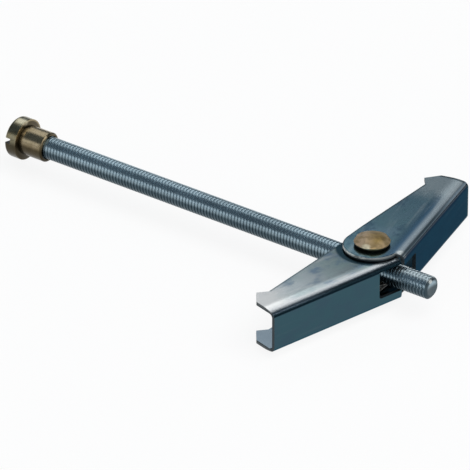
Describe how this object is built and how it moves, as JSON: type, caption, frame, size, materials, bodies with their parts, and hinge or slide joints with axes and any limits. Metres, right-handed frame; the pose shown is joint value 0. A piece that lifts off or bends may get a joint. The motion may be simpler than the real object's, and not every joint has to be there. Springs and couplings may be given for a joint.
{
  "type": "spring toggle bolt",
  "caption": "Threaded rod with a slotted sleeve nut and a trunnion nut carrying spring-opened folded channel wings that grip behind a hollow board.",
  "frame": {"origin": "centre of the seat face under the sleeve nut's head, on the rod's axis", "axes": "+X along the rod to its free end, +Z along the wings' pivot axis and up as the bolt lies, +Y towards the right wing seen from the head"},
  "size_m": [0.1088, 0.0678, 0.0144],
  "materials": {
    "zinc_rod": "blue zinc plate over a rolled thread, satin",
    "zinc_sheet": "blue zinc plate over cold-rolled sheet, satin with faint tints",
    "yellow_brass": "turned, dull yellow",
    "spring_wire": "drawn spring wire"
  },
  "bodies": {
    "trunnion": {"trunnion_nut": "yellow_brass", "torsion_spring": "spring_wire"},
    "left_wing": {"left_wing": "zinc_sheet"},
    "right_wing": {"right_wing": "zinc_sheet"},
    "rod": {"threaded_rod": "zinc_rod"},
    "sleeve_nut": {"sleeve_nut": "yellow_brass"}
  },
  "joints": [
    {"name": "left_wing_fold", "type": "hinge", "parent": "trunnion", "child": "left_wing", "pos_m": [0.0905, 0, 0], "axis": [0, 0, -1], "range_deg": [0, 77], "stiffness_Nm_per_rad": 0.02, "deforming": ["torsion_spring"]},
    {"name": "right_wing_fold", "type": "hinge", "parent": "trunnion", "child": "right_wing", "pos_m": [0.0905, 0, 0], "axis": [0, 0, 1], "range_deg": [0, 77], "stiffness_Nm_per_rad": 0.02, "deforming": ["torsion_spring"]},
    {"name": "rod_travel", "type": "slide", "parent": "trunnion", "child": "rod", "axis": [1, 0, 0], "range_m": [-0.0112, 0.056]},
    {"name": "sleeve_turn", "type": "hinge", "parent": "rod", "child": "sleeve_nut", "pos_m": [0, 0, 0], "axis": [1, 0, 0], "range_deg": [-5041, 25203]}
  ],
  "couplings": [
    {"joint": "sleeve_turn", "follows": "rod_travel", "rad_per_m": 7854}
  ]
}
